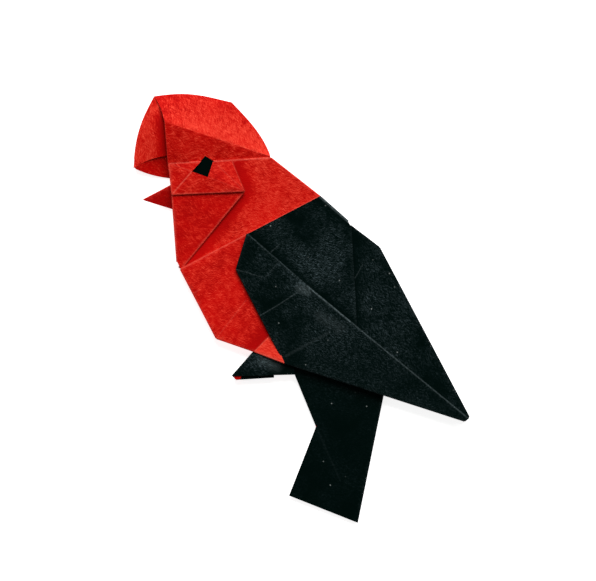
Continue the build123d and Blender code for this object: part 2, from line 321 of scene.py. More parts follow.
def join(panel, sheet, side):
    """Joins a panel to the whole sheet, on the upper side (1) or the lower side (-1)."""
    turned = panel.mesh.faces.layers.float.new("lay")
    loose = panel.mesh.loops.layers.float.new("fuzz")
    for face in panel.mesh.faces:
        centre = face.calc_center_median()
        face[turned] = math.radians(panel.lay(centre))
        for corner in face.loops:
            corner[loose] = panel.fuzz(corner.vert.co.lerp(centre, CORNER_PULL))
    for vert in panel.mesh.verts:
        vert.co.z = MIDDLE + side * vert.co.z
    bmesh.ops.recalc_face_normals(panel.mesh, faces=panel.mesh.faces[:])
    facing = sum(face.normal.z * face.calc_area() for face in panel.mesh.faces)
    if (facing > 0) != ((side > 0) == panel.red_out):
        bmesh.ops.reverse_faces(panel.mesh, faces=panel.mesh.faces[:])
    panel.mesh.verts.layers.float_vector.remove(panel.base)
    part = bpy.data.meshes.new("panel")
    panel.mesh.to_mesh(part)
    sheet.from_mesh(part)
    panel.mesh.free()
    bpy.data.meshes.remove(part)


def count(panels):
    """How many panels and faces a piece has, in words."""
    return f"panels {len(panels)}, faces {sum(len(panel.mesh.faces) for panel in panels)}"


print(f"loose fibres are read {CORNER_PULL:.0%} of the way in from a corner")

# %% [markdown]
# ## Corners of the head
# A fold is straight, so a folded shape is known by its corners. An outline could be drawn for each flap,
# but named corners can be shared: two flaps that meet at a fold then meet exactly. They are read off the
# photograph in millimetres in the frame of the part: +X is to the right and +Y is up the picture. The
# near side of the whole head springs open about the line from throat to nape, and the far side is pressed
# by the bird's weight.

# %% Corners of the head
HEAD_SPRING = 3.5                 # degrees

throat_tip = Vector((-30.21, 9.69))
nape = Vector((4.54, 27.91))
brow_back = Vector((-7.71, 37.49))
brow_front = Vector((-33.06, 36.04))
cheek_front = Vector((-32.31, 28.41))
jaw = Vector((-31.08, 11.49))
cheek_tip = Vector((-14.26, 29.24))
cheek_top = Vector((-17.46, 36.84))
eye_top = Vector((-24.08, 37.99))
eye_front = Vector((-27.38, 34.09))
eye_low = Vector((-23.38, 32.66))
eye_back = Vector((-22.13, 36.56))
eye_brow = Vector((-25.13, 36.51))
beak_tip = Vector((-39.58, 26.99))
beak_top = Vector((-32.76, 30.49))
beak_low = Vector((-32.26, 24.74))

head_hinges = [(throat_tip, nape, HEAD_SPRING)]
print(f"brow {(brow_back - brow_front).length:.1f} mm long")

# %% [markdown]
# ## Outline of the crest
# The crest stands open like a half-moon purse, so its edges are curves and only its creases are straight.
# A circle would be too round: each edge runs between two corners and bows out by about a millimetre, and
# two of them are fuller towards one end.

# %% Outline of the crest
crest_front = Vector((-36.83, 52.91))
crest_back = Vector((-17.56, 51.41))
crest_nose = Vector((-42.03, 34.99))
crest_chin = Vector((-33.01, 32.49))
crest_peak = Vector((-34.18, 46.49))
crest_edge_low = Vector((-33.38, 35.74))
crest_front_low = Vector((-33.76, 38.11))
ridge_end = Vector((-8.13, 37.99))

crest_top_line = bowed(crest_back, crest_front, bow=1.2, lean=1.12)
crest_back_line = bowed(brow_back, crest_back, bow=1.05, lean=0.8)
crest_front_line = bowed(crest_front, crest_nose, bow=1.28)
crest_chin_line = bowed(crest_nose, crest_chin, bow=0.4)
crest_side_line = bowed(crest_peak, crest_front, bow=0.3, steps=6)
crest_low_line = bowed(crest_front_low, crest_nose, bow=0.55, steps=8)
crest_round = crest_back_line + crest_top_line[1:]
print(f"crest {crest_back.x - crest_nose.x:.1f} mm wide, {len(crest_round)} points round its edge")

# %% [markdown]
# ## Side of the crest
# The side rises from the round edge to a long crease and falls again to the brow. Sculpting could give
# that form, but paper only bends one way at a time. So the height is a share of the way between two
# edges, a little fuller than a straight line, because paper that is pulled open bellies out.

# %% Side of the crest
CREST_PEAK = 4.5                  # near crease above the middle plane, where the crest is fullest
PRESSED_PEAK = 2.0                # the same crease on the side that lies on the table
UPPER_SWELL = 0.06                # how much fuller than straight the facet above the crease is
LOWER_SWELL = 0.1                 # the same below the crease


def between(first, second, swell):
    """Share of the way from one distance to another, made a little fuller."""
    share = first / max(first + second, SNAP)
    return share + swell * share * (1 - share)


def crest_side_height(peak, hinges):
    """Height of the crest's side: up from its round edge to the crease and down to the brow."""
    ground = stack(0, *hinges)

    def height(point):
        run = ridge_end - crest_peak
        share = min(max((point.xy - crest_peak).dot(run) / run.length_squared, 0), 1)
        crease = peak + share * (ground(ridge_end) + AIR - peak)
        to_crease = abs(beside(point, crest_peak, ridge_end))
        if beside(point, crest_peak, ridge_end) > 0:
            return crease * between(away_from_curve(point, crest_round), to_crease, UPPER_SWELL)
        above_brow = beside(point, brow_front, brow_back)
        if above_brow < 0:
            return ground(point)
        return ground(point) + (crease - ground(point)) * between(above_brow, to_crease, LOWER_SWELL)

    return height


print(f"crease {CREST_PEAK} mm above the middle, {PRESSED_PEAK} mm on the pressed side")

# %% [markdown]
# ## Front of the crest
# The front facet rolls from its outer edge up to a soft crown and then down under the edge of the side. A
# piece of a cylinder would be as round at both ends, and this one flattens at its corners. So it is half
# a wave across, times half a wave down the facet that is fullest near the top.

# %% Front of the crest
FRONT_CROWN = 2.1                 # crown of the front facet above the middle plane
PRESSED_CROWN = 1.2
CROWN_LEAN = 0.75                 # below 1 the crown sits higher up
CROWN_REACH = 0.86                # share of half a wave that the facet takes down its length
ROLL_REACH = 0.92                 # the same across it
FRONT_TUCK = 1.5                  # how far it runs in under the side


def crest_front_height(crown):
    """Height of the front facet: up from its edge to a soft crown, then down under the side."""
    depth = crest_front.y - crest_front_low.y

    def height(point):
        down = max((crest_front.y - point.y) / depth, 0)
        fullness = crown * max(math.sin(math.pi * min(down**CROWN_LEAN * CROWN_REACH, 1)), 0)
        across = away_from_curve(point, crest_front_line)
        share = across / max(across + max(crest_edge_low.x + FRONT_TUCK - point.x, 0), SNAP)
        open_corner = PAPER * math.exp(-(point.xy - crest_nose).length_squared)
        return open_corner + fullness * math.sin(math.pi * min(share * ROLL_REACH, 1))

    return height


print(f"front facet {(crest_front - crest_nose).length:.1f} mm long, crowned by {FRONT_CROWN} mm")

# %% [markdown]
# ## The raised crest
# Both facets become panels now. The side runs in under the brow, so that no gap shows there. Just above its
# crease it has more pale fibres, a painted highlight band that fades in along the crease from its front end,
# and below the crease its fibres are even. One panel with a crease cut into it is enough for the side: two
# panels would do, but would have to be joined again.

# %% Crest
CREST_HIDDEN = 2.5                # how far the crest runs in under the brow
CREST_LAY = -52.0                 # degrees by which the fibres of the upper facet are turned
FRONT_LAY = -60.0
FRONT_FUZZ = 1.3
BELOW_CREASE_FUZZ = 0.905
ABOVE_CREASE_FUZZ = 0.79          # far above the crease
PAINTED_CREASE_HIGHLIGHT = 0.86                # so many more pale fibres just above the crease, a painted highlight
PAINTED_HIGHLIGHT_WIDTH = 6.5           # how far up from the crease the painted highlight reaches
PAINTED_HIGHLIGHT_START = -2.0          # where along the crease it begins
PAINTED_HIGHLIGHT_RUN = 9.0             # and how far it takes to reach its full amount


def crest_fuzz_and_highlight(point):
    """Loose fibres of the crest's side: more just above the crease, a painted highlight band, and even below
    it.
    """
    above = beside(point, crest_peak, ridge_end)
    if above < 0:
        return BELOW_CREASE_FUZZ
    along = (point.xy - crest_peak).dot((ridge_end - crest_peak).normalized())
    full = min(max((along - PAINTED_HIGHLIGHT_START) / PAINTED_HIGHLIGHT_RUN, 0), 1)
    return ABOVE_CREASE_FUZZ + PAINTED_CREASE_HIGHLIGHT * math.exp(-(above / PAINTED_HIGHLIGHT_WIDTH) ** 2) * full


def crest_lay(point):
    """The fibres of the crest's upper facet lie steeper than those below its crease."""
    return CREST_LAY if beside(point, crest_peak, ridge_end) > 0 else 0.0


def crest(peak, crown, hinges):
    """Side and front of the crest for one half."""
    down = Vector((0, -CREST_HIDDEN))
    under = Vector((FRONT_TUCK, 0))
    side_edge = crest_round[:-1] + crest_side_line[:0:-1] + [crest_peak, crest_edge_low]
    front_edge = crest_front_line[:-1] + crest_low_line[:0:-1] + [crest_front_low]
    side = Panel(side_edge + [crest_edge_low + down / 2, brow_back + down], crest_side_height(peak, hinges),
                 creases=[(crest_peak, ridge_end)], fuzz=crest_fuzz_and_highlight, lay=crest_lay)
    # the front facet is darker along the edge of the side that overhangs it: painted shade
    front = Panel(front_edge + [crest_front_low + under, crest_peak + under], crest_front_height(crown),
                  fuzz=darkened([crest_peak, crest_edge_low], even(FRONT_FUZZ)), lay=even(FRONT_LAY))
    return [side, front]


near_crest = crest(CREST_PEAK, FRONT_CROWN, head_hinges)
far_crest = crest(PRESSED_PEAK, PRESSED_CROWN, [])
print("near crest:", count(near_crest))

# %% [markdown]
# ## Inside of the crest
# Below the front facet one looks into the crest, at a darker facet that closes it above the beak. Without
# it the crest would be a tube, and light would fall through. Its lower edge is the chin line, and it
# slopes up behind the front facet: one panel on a steep hinge is all it takes.

# %% Inside of the crest
CHIN_LAYER = -0.5                 # it crosses the middle plane
CHIN_SLOPE = -20.0                # degrees
CHIN_FUZZ = 0.757
chin_nose = crest_nose + Vector((0.25, 0.1))
chin_back = Vector((-31.5, 32.8))
chin_top = Vector((-31.5, 39.3))
chin_behind = Vector((0.2, 0.7))  # how far it runs up behind the front facet

chin_edge = [chin_nose] + crest_chin_line[1:] + [chin_back, chin_top]
chin = Panel(chin_edge + [corner + chin_behind for corner in crest_low_line[:-2]],
             stack(CHIN_LAYER, (crest_front_low, crest_nose, CHIN_SLOPE)), fuzz=even(CHIN_FUZZ))
print("inside of the crest:", count([chin]))

# %% [markdown]
# ## Cheek
# The black flap of the eye pushes the cheek up from below, so its facets tip to and from the light. A
# displaced grid would blur their edges. Each facet is a flat panel between three corners, with a lift at
# each corner, and facets that share a corner share its lift.

# %% Cheek
CHEEK_LAYER = 5
CHEEK_FUZZ = 0.915
CHEEK_LIFT = {"eye_front": 0.45, "eye_low": 0.95, "cheek_tip": 1.1, "eye_brow": 0.15, "eye_back": 0.1}
CHEEK_LIP = 0.3
CHEEK_FACETS = [("brow_front", "eye_front", "eye_brow"), ("brow_front", "cheek_front", "eye_front"),
                ("cheek_front", "eye_low", "eye_front"), ("cheek_front", "cheek_tip", "eye_low"),
                ("eye_low", "cheek_tip", "eye_back"), ("eye_back", "cheek_tip", "cheek_top")]
cheek_corners = {"eye_front": eye_front, "eye_low": eye_low, "eye_brow": eye_brow, "eye_back": eye_back,
                 "brow_front": brow_front, "cheek_front": cheek_front, "cheek_tip": cheek_tip,
                 "cheek_top": cheek_top}


def facet_height(corners, lifts, ground):
    """Height of a flat facet between three corners that are lifted off a layer."""
    flat = [Vector((*corner, 0)) for corner in corners]
    lifted = [Vector((*corner, ground(corner) + lift)) for corner, lift in zip(corners, lifts)]
    return lambda point: barycentric_transform(Vector((*point.xy, 0)), *flat, *lifted).z


def cheek(spring, hinges):
    """The cheek's six facets round the eye."""
    panels = {}
    for names in CHEEK_FACETS:
        corners = [cheek_corners[name] for name in names]
        lifts = [spring * CHEEK_LIFT.get(name, 0) for name in names]
        panels[names] = Panel(corners, facet_height(corners, lifts, stack(CHEEK_LAYER, *hinges)),
                              fuzz=even(CHEEK_FUZZ))
    panels[CHEEK_FACETS[1]].hem(brow_front, cheek_front)
    panels[CHEEK_FACETS[3]].hem(cheek_front, cheek_tip, lip=CHEEK_LIP)
    return list(panels.values())


near_cheek, far_cheek = cheek(1, head_hinges), cheek(0, [])
print("near cheek:", count(near_cheek))

# %% [markdown]
# ## Neck
# The neck lies under cheek and throat like a tile. It could end at the edges that cover it, but then one
# would see through the seam from the side. So it runs on in behind them, to hidden corners. Its two
# halves are one piece of paper that goes round the back, and one bend joins them.

# %% Neck
NECK_LAYER = 2
NECK_HIDDEN = 3.0                 # how far the neck runs in under the shoulder
NECK_FUZZ = 1.12


def neck(hinges):
    """The neck, which runs in behind brow, cheek and jaw, and under the shoulder."""
    behind_brow = brow_front.lerp(brow_back, 0.2)
    behind_cheek, behind_jaw = Vector((-30.4, 30.0)), Vector((-29.6, 12.0))
    neck_front = throat_tip.lerp(nape, 0.01)
    fold_in = (nape - throat_tip).orthogonal().normalized() * -NECK_HIDDEN
    # darker along the edges of cheek and throat that cover it: painted shade
    panel = Panel([behind_brow, behind_cheek, behind_jaw, neck_front, neck_front + fold_in, nape + fold_in,
                   nape, brow_back], stack(NECK_LAYER, *hinges),
                  fuzz=darkened([cheek_top, cheek_tip, throat_tip], even(NECK_FUZZ)))
    panel.hem(behind_brow, brow_back)
    return panel


near_neck, far_neck = neck(head_hinges), neck([])
near_neck.bend(nape, brow_back, lambda point: -far_neck.height(point))
print("neck:", count([near_neck, far_neck]))

# %% [markdown]
# ## Throat and eye
# The throat is a flap that springs open from its front edge. The eye is a bit of the black side that
# shows between the facets of the cheek. It could be painted on, but a black panel under the cheek keeps
# the real edge of the paper round it. Both run on in behind the cheek.

# %% Throat and eye
THROAT_LAYER, EYE_LAYER = 3, 4
THROAT_SPRING = 2.9               # degrees
THROAT_LAY = -14.0
THROAT_FUZZ = 0.76
THROAT_LIP = 0.8


def throat(spring, hinges):
    """The throat flap, hinged at its front edge, which runs up behind the cheek."""
    behind_cheek = [cheek_tip + Vector((-3.0, 1.6)), cheek_front + Vector((0, 2.0))]
    panel = Panel([cheek_front, jaw, throat_tip, cheek_tip, *behind_cheek],
                  stack(THROAT_LAYER, *hinges, (cheek_front, jaw, spring * THROAT_SPRING)),
                  fuzz=even(THROAT_FUZZ), lay=even(THROAT_LAY))
    panel.hem(cheek_front, jaw)
    panel.hem(throat_tip, cheek_tip, lip=THROAT_LIP)
    return panel


def eye(hinges):
    """The smooth black flap that shows as the eye and runs on behind the cheek."""
    behind_cheek = [eye_front + Vector((-0.8, -2.0)), eye_low + Vector((0.0, -2.2)),
                    cheek_tip + Vector((-4.0, 3.0)), eye_back + Vector((1.5, -0.6))]
    return Panel([eye_top, eye_front, *behind_cheek], stack(EYE_LAYER, *hinges), red_out=False,
                 fuzz=even(0.0))


near_head = [near_neck, throat(1, head_hinges), eye(head_hinges), *near_cheek]
far_head = [far_neck, throat(0, []), eye([]), *far_cheek]
print("near head:", count(near_head))

# %% [markdown]
# ## Beak
# The beak is a narrow flap folded along its top edge. It is twisted a little, so that it tips towards the
# table and looks darker than the face, and its few pale fibres darken it further as painted shade. Turning an
# object would tip it as well, but here both sides lean by the same height function, and the bend along the
# top keeps them together.

# %% Beak
BEAK_TWIST = 28.0                 # degrees by which the beak tips towards the table
BEAK_ROOT = 5.0                   # how far it runs in behind the face
# few pale fibres: the beak is darker, partly painted shade
BEAK_FUZZ_AND_SHADE = 0.48


def beak(side):
    """One side of the beak, tipped about its own middle line."""
    root = Vector((BEAK_ROOT, 0))
    lean = side * math.tan(math.radians(BEAK_TWIST))
    centre = (beak_top.y + beak_low.y) / 2

    def height(point):
        return stack(0)(point) + lean * (point.y - centre)

    return Panel([beak_tip, beak_low, beak_low + root, beak_top + root, beak_top], height,
                 fuzz=even(BEAK_FUZZ_AND_SHADE))


near_beak, far_beak = beak(1), beak(-1)
near_beak.bend(beak_tip, beak_top, lambda point: -far_beak.height(point))
print("beak:", count([near_beak, far_beak]))

# %% [markdown]
# ## Corners of the body and the wing
# Breast, belly and wing are read off the photograph in the same way. Thick paper can't fold to a needle,
# so the wing's tip is blunt. A bevel could round it, but two corners are enough for about a millimetre.

# %% Corners of the body and the wing
shoulder = Vector((-13.51, 18.49))
breast_low = Vector((-21.26, -7.56))
belly_point = Vector((-11.76, -10.84))
belly_rise = Vector((-7.51, -6.51))

wing_front = Vector((-16.23, 9.61))
wing_heel = Vector((-4.26, -13.64))
wing_tip_low = Vector((40.75, -28.20))
wing_tip_back = Vector((41.85, -27.30))
wing_crown = Vector((19.44, 15.04))
wing_notch = Vector((12.24, 20.61))
back_end = Vector((11.67, 21.61))
layer_middle = Vector((12.87, 9.49))
layer_end = Vector((13.62, -4.51))
diagonal_front = Vector((1.37, 5.49))
diagonal_middle = Vector((12.12, -3.39))
diagonal_end = wing_tip_back.lerp(wing_tip_low, 0.25)

wing_diagonal = [shoulder, diagonal_front, diagonal_middle, diagonal_end]
wing_layer_line = [wing_notch, layer_middle, layer_end]
print(f"wing {(wing_tip_low - shoulder).length:.1f} mm long")

# %% [markdown]
# ## Breast and belly
# The body is one red panel with its borders hemmed, and the wing's flaps are folded over it. A small corner
# of it is folded up at the belly and catches the light, and its many pale fibres are a painted highlight that
# makes it brighter still. Next to it, along the crease, the body is darker, which is painted shade. It could
# be a crease in the panel, but as a panel of its own it keeps its steep tilt and its paler surface to itself.

# %% Breast and belly
BODY_LAYER = 4
TRUNK_LAY = 8.0
TRUNK_FUZZ = 0.89
BELLY_SPRING = 9.5                # degrees
# many pale fibres make the belly facet brighter: a painted highlight
BELLY_FUZZ_AND_HIGHLIGHT = 1.9
BELLY_LIP = 1.0


def trunk():
    """Breast and body, from the throat to the wing tip."""
    # darker along the crease at the foot of the belly facet: painted shade
    panel = Panel([throat_tip, breast_low, belly_point, belly_rise, wing_heel, wing_tip_low, wing_tip_back,
                   wing_crown, wing_notch, back_end, nape], stack(BODY_LAYER),
                  fuzz=darkened([belly_point, belly_rise], even(TRUNK_FUZZ)), lay=even(TRUNK_LAY))
    panel.hem(nape, throat_tip, lip=NECK_HIDDEN)
    panel.hem(throat_tip, breast_low)
    panel.hem(breast_low, belly_point)
    return panel


def belly(spring):
    """The small facet that is folded up at the belly."""
    panel = Panel([belly_point, wing_heel, belly_rise],
                  stack(BODY_LAYER, (belly_rise, belly_point, spring * BELLY_SPRING)), fuzz=even(BELLY_FUZZ_AND_HIGHLIGHT))
    panel.hem(belly_point, wing_heel, lip=BELLY_LIP)
    return panel


near_body, far_body = [trunk(), belly(1)], [trunk(), belly(0)]
print("near body:", count(near_body))

# %% [markdown]
# ## Wing
# The body's borders turn back over it three times, and the turned flaps show the black side: they are the
# wing. Flat tiles would be quick, but where two flaps meet, the one below dips in under the edge of the
# other, and its shade makes that edge readable. So a dip is added to the height, and fewer grey fibres along
# that edge darken it further, as painted shade. The wing was held at one place while it was folded, and there
# its fibres stand up most.

# %% Wing
WING_LOWER_LAYER, WING_UPPER_LAYER, WING_BACK_LAYER = TOP_LAYER, 6, 5
WING_LOWER_SPRING, WING_UPPER_SPRING, WING_BACK_SPRING = 0.8, 0.6, 0.5  # degrees
WING_LOWER_LAY, WING_UPPER_LAY, WING_BACK_LAY = -16.0, 12.0, -30.0
WING_DIP = 0.2                    # dip of a flap along the edge that covers it
DIP_WIDTH = 2.6
LAP = 2.0                         # how far a flap runs in under the next
WING_LIP = 0.3
held = handled(least=0.5, most=1.3, place=Vector((6.0, 8.0)), width=13.0)
covered = Vector((-0.6, -0.8)) * LAP  # the way in under the diagonal edge


def dipped(height, curve, spring):
    """A height function that dips along a curve."""
    def lower(point):
        return height(point) - spring * WING_DIP * math.exp(-(away_from_curve(point, curve) / DIP_WIDTH) ** 2)

    return lower


print(f"a flap dips by {WING_DIP} mm and runs on {LAP} mm under the next")

# %% [markdown]
# ## Lower flap of the wing
# The front and lower flap lies on top of the others. A plane with a thickness would show cut edges, but
# these are folded ones. So the panel is bent round to the body at the wing's lower edge and tip, where it
# was folded over, and its other borders are hemmed.

# %% Lower flap of the wing


def wing_lower(spring):
    """The front and lower flap, on top of the others."""
    height = stack(WING_LOWER_LAYER, (wing_heel, wing_tip_low, spring * WING_LOWER_SPRING))
    panel = Panel([shoulder, wing_front, wing_heel, wing_tip_low, diagonal_end, diagonal_middle,
                   diagonal_front], height, red_out=False, fuzz=held, lay=even(WING_LOWER_LAY))
    panel.bend(wing_heel, wing_tip_low, stack(BODY_LAYER))
    panel.bend(wing_tip_low, diagonal_end, stack(BODY_LAYER))
    front = [shoulder, wing_front, wing_heel]
    for start, end in [*zip(front, front[1:]), *zip(wing_diagonal, wing_diagonal[1:])]:
        panel.hem(start, end, lip=WING_LIP)
    return panel


near_lower, far_lower = wing_lower(1), wing_lower(0)
print("lower flap:", count([near_lower, far_lower]))

# %% [markdown]
# ## Upper flap and back flap of the wing
# Two more flaps come over from the bird's back and from the wing's long back edge, and each is covered in
# part. They could stop at the edge that covers them. They run on a little under it, so that no light
# passes between.

# %% Upper flap and back flap of the wing


def wing_upper(spring):
    """The flap folded over from the back, which runs in under the diagonal."""
    height = stack(WING_UPPER_LAYER, (back_end, nape, spring * WING_UPPER_SPRING))
    under_diagonal = [shoulder + Vector((0.2, -1.6)), diagonal_front + covered, diagonal_middle + covered,
                      layer_end + covered]
    # darker along the diagonal edge that covers it, which is painted shade, and along its own back fold
    panel = Panel([nape, shoulder, *under_diagonal, layer_end, layer_middle, wing_notch, back_end],
                  dipped(height, wing_diagonal, spring), red_out=False,
                  fuzz=darkened(wing_diagonal, darkened([nape, back_end, wing_notch], held)),
                  lay=even(WING_UPPER_LAY))
    panel.bend(back_end, nape, stack(BODY_LAYER))
    for start, end in zip(wing_layer_line, wing_layer_line[1:]):
        panel.hem(start, end, lip=WING_LIP)
    return panel


def wing_back(spring):
    """The flap folded over from the wing's long back edge, under both others."""
    height = stack(WING_BACK_LAYER, (wing_tip_back, wing_crown, spring * WING_BACK_SPRING))
    left = Vector((-LAP, 0))
    # darker along the edge of the upper flap that covers it: painted shade
    panel = Panel([wing_notch, wing_notch + left, layer_middle + left, layer_end + covered, diagonal_end,
                   wing_tip_back, wing_crown], dipped(height, wing_layer_line, spring), red_out=False,
                  fuzz=darkened(wing_layer_line, held), lay=even(WING_BACK_LAY))
    for start, end in [(diagonal_end, wing_tip_back), (wing_tip_back, wing_crown), (wing_crown, wing_notch)]:
        panel.bend(start, end, stack(BODY_LAYER))
    return panel


near_wing = [near_lower, wing_upper(1), wing_back(1)]
far_wing = [far_lower, wing_upper(0), wing_back(0)]
print("near wing:", count(near_wing))

# %% [markdown]
# ## Foot
# The lining of the breast comes out below the belly as a black foot with a second layer under it, whose
# turned tip shows a little of the red side. The tip could be painted red, but a sliver of paper with its
# red side out is what it is, and it stays sharp from any side.

# %% Foot
FOOT_LAYER, TIP_LAYER, SOLE_LAYER = 3, 1.7, 1
FOOT_LIP = 1.5
SOLE_FUZZ = 0.1
toe = Vector((-17.31, -17.09))
foot_back = Vector((-1.76, -16.69))
sole_front = Vector((-16.26, -18.01))
sole_back = Vector((-6.88, -17.44))
foot_held = handled(least=0.2, most=2.4, place=Vector((-9.5, -12.6)), width=3.6)
foot_up = Vector((0, 6.0))        # how far the foot runs up inside the body


def foot():
    """Foot in two layers with its red tip."""
    upper = Panel([breast_low + Vector((2.1, 1.6)), belly_point, toe, foot_back, foot_back + foot_up,
                   belly_rise], stack(FOOT_LAYER), red_out=False, fuzz=foot_held)
    upper.hem(belly_point, toe, lip=FOOT_LIP)
    sole = Panel([toe + Vector((0.6, 0.3)), sole_front, sole_back, sole_back + foot_up / 2,
                  toe + foot_up / 2 + Vector((4.0, 0))], stack(SOLE_LAYER), red_out=False,
                 fuzz=even(SOLE_FUZZ))
    tip = Panel([toe + Vector((0.4, -0.15)), sole_front + Vector((-0.4, 0.15)),
                 sole_front + Vector((0.9, 0.1)), toe + Vector((2.6, 0.9)), toe + Vector((1.2, 0.9))],
                stack(TIP_LAYER))
    return [upper, sole, tip]


near_foot, far_foot = foot(), foot()
print("near foot:", count(near_foot))

# %% [markdown]
# ## Tail
# The tail hangs out of the body in two layers, folded along its back edge. Left straight it would stand
# in the air, because it leaves the body at half its height. Real paper droops, so both layers slope down
# to the table from the wing's edge on. It was rubbed smooth, and so it is darker than the wing.

# %% Tail
TAIL_DROOP = 1.6                  # degrees
TAIL_FUZZ = 0.12
tail_top = Vector((-1.71, -16.76))
tail_waist = Vector((3.62, -29.76))
tail_low = Vector((-3.13, -47.01))
tail_end = Vector((13.87, -53.76))
tail_back = Vector((20.37, -21.69))
tail_root_front = tail_top + Vector((-2.6, 6.3))  # inside the body
tail_root_back = tail_back + Vector((1.4, 6.9))


def tail(side):
    """One layer of the tail, which droops towards the table from the wing's edge down."""
    drop = math.tan(math.radians(TAIL_DROOP))

    def height(point):
        return stack(0)(point) - side * drop * max(tail_top.y - point.y, 0)

    return Panel([tail_root_front, tail_top, tail_waist, tail_low, tail_end, tail_back, tail_root_back],
                 height, red_out=False, fuzz=even(TAIL_FUZZ))


near_tail, far_tail = tail(1), tail(-1)
near_tail.bend(tail_end, tail_back, lambda point: -far_tail.height(point))
print("tail:", count([near_tail, far_tail]))

# %% [markdown]
# ## The whole sheet
# All panels come together now. They could stay separate objects, but the real bird is one sheet: panels
# that share a fold are merged into one skin. Two steps do that: first all points that coincide, then the
# open ends of hems that meet at a corner, which lie a little further apart.

# %% Sheet
MERGE = 0.002                     # millimetres
MERGE_ENDS = 0.005

sheet = bmesh.new()
sheet.verts.layers.float.new("worn")
sheet.loops.layers.float.new("fuzz")
sheet.faces.layers.float.new("lay")
for panel in near_crest + near_head + near_body + near_wing + [near_beak, chin] + near_foot + [near_tail]:
    join(panel, sheet, 1)
for panel in far_crest + far_head + far_body + far_wing + [far_beak] + far_foot + [far_tail]:
    join(panel, sheet, -1)
bmesh.ops.remove_doubles(sheet, verts=sheet.verts[:], dist=MERGE)
bmesh.ops.remove_doubles(sheet, verts=[v for v in sheet.verts if v.is_boundary], dist=MERGE_ENDS)
print(len(sheet.faces), "faces in the skin of the sheet")

# %% [markdown]
# ## Thickness
# So far the sheet is a skin with its red side out. Real paper has a thickness, and its other face is
# black. Each face could be extruded with bmesh, but the Solidify modifier does it for the whole skin, and
# gives the inner face and the cut rim the next materials in the list. Its result is kept as a plain mesh.

# %% Thickness
SHARP = 40.0                      # degrees; an edge that turns more than this is shaded as a crease

mesh = bpy.data.meshes.new("skin")
bmesh.ops.scale(sheet, vec=(MM, MM, MM), verts=sheet.verts[:])
sheet.to_mesh(mesh)
sheet.free()
skin = bpy.data.objects.new("skin", mesh)
bpy.context.scene.collection.objects.link(skin)
for material in ("red_fibre_paper", "black_fibre_paper", "cut_paper_edge"):
    mesh.materials.append(bpy.data.materials.new(material))
    mesh.materials[material].use_nodes = True
thick = skin.modifiers.new("paper", "SOLIDIFY")
thick.thickness = PAPER * MM
thick.offset = 0.0
thick.material_offset = 1
thick.material_offset_rim = 2
shown = bpy.data.meshes.new_from_object(skin.evaluated_get(bpy.context.evaluated_depsgraph_get()))
bpy.data.objects.remove(skin)
shown.shade_smooth()
shown.set_sharp_from_angle(angle=math.radians(SHARP))
bird = bpy.data.objects.new("folded_paper_bird", shown)
bpy.context.scene.collection.objects.link(bird)
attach(bird, "root")
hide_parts("folded_bird")
print(len(shown.polygons), "faces in the paper")

# %% [markdown]
# ## Nodes
# A material is a tree of nodes. It could be wired by hand in the shader editor; in a script, one small
# function that adds a node with its settings and links keeps the wiring short. Colours are written as
# sRGB hex, as a colour picker shows them. Shaders want linear values, so one function turns them.

# %% Nodes


def linear(hex_colour):
    """A colour written as sRGB hex, in the linear values that shaders use."""
    channels = [int(hex_colour[k:k + 2], 16) / 255 for k in (1, 3, 5)]
    return (*[c / 12.92 if c <= 0.04045 else ((c + 0.055) / 1.055) ** 2.4 for c in channels], 1.0)


def add(tree, kind, settings=None, **inputs):
    """Adds a node with its settings, and links or sets its inputs by name, or by number as in _0."""
    node = tree.nodes.new(kind)
    for name, value in (settings or {}).items():
        setattr(node, name, value)
    for name, value in inputs.items():
        socket = node.inputs[int(name[1:])] if name[0] == "_" else node.inputs[name.replace("_", " ")]
        if isinstance(value, bpy.types.NodeSocket):
            tree.links.new(value, socket)
        else:
            socket.default_value = value
    return node


def group(name, inputs, outputs):
    """An empty node group with its sockets, given as name and kind."""
    tree = bpy.data.node_groups.new(name, "ShaderNodeTree")
    for direction, sockets in (("INPUT", inputs), ("OUTPUT", outputs)):
        for socket, kind in sockets:
            tree.interface.new_socket(socket, in_out=direction, socket_type=kind)
    return tree, tree.nodes.new("NodeGroupInput").outputs, tree.nodes.new("NodeGroupOutput").inputs


print(f"a middle grey of #808080 is {linear('#808080')[0]:.3f} to a shader")

# %% [markdown]
# ## Fibres
# Close up the paper is a felt of fibres about a millimetre long, some of them paler than the rest, so its
# colour is never flat. Hair strands could be laid on it, but they would outweigh the whole bird. So the
# fibres are noise that is stretched along three directions, and a slower noise bends them and says which
# direction is strongest in a patch. That keeps them from looking ruled. Each panel turns the pattern by
# its own lay, as its fold did.

# %% Sizes of the fibres
# Sizes are in millimetres for a fineness of 1; each side of the paper then says how much finer its felt is.
FIBRE_WIDTH = 0.36                # drawn coarser than real fibres of 0.03 mm, which would be lost in a pixel
FIBRE_TURNS = (-44.0, -14.0, 18.0)  # degrees
FIBRE_CURL = 0.9                  # how far the slow noise bends a fibre
PATCH = 3.5                       # size of a patch in which most fibres lie one way
PATCH_LOW, PATCH_HIGH = 0.42, 0.58  # noise between which a direction comes up in a patch
WEAKEST = 0.18                    # share of a direction that is left in the patches of the others
LEAST_COVER = 0.02                # keeps the average from dividing by nothing
GRAIN = 0.4                       # size of the grain between the fibres
GRAIN_SHARE = 0.2
FIBRE_LOW, FIBRE_HIGH = 0.40, 0.64  # noise at which a fibre is seen first, and in full
CLOUD = 14.0                      # size of the clouds of thinner and thicker felt
MOTTLE = 2.6                      # size of the spots in which fibres stand up together
print(f"fibres {FIBRE_WIDTH} mm wide in patches of {PATCH} mm")

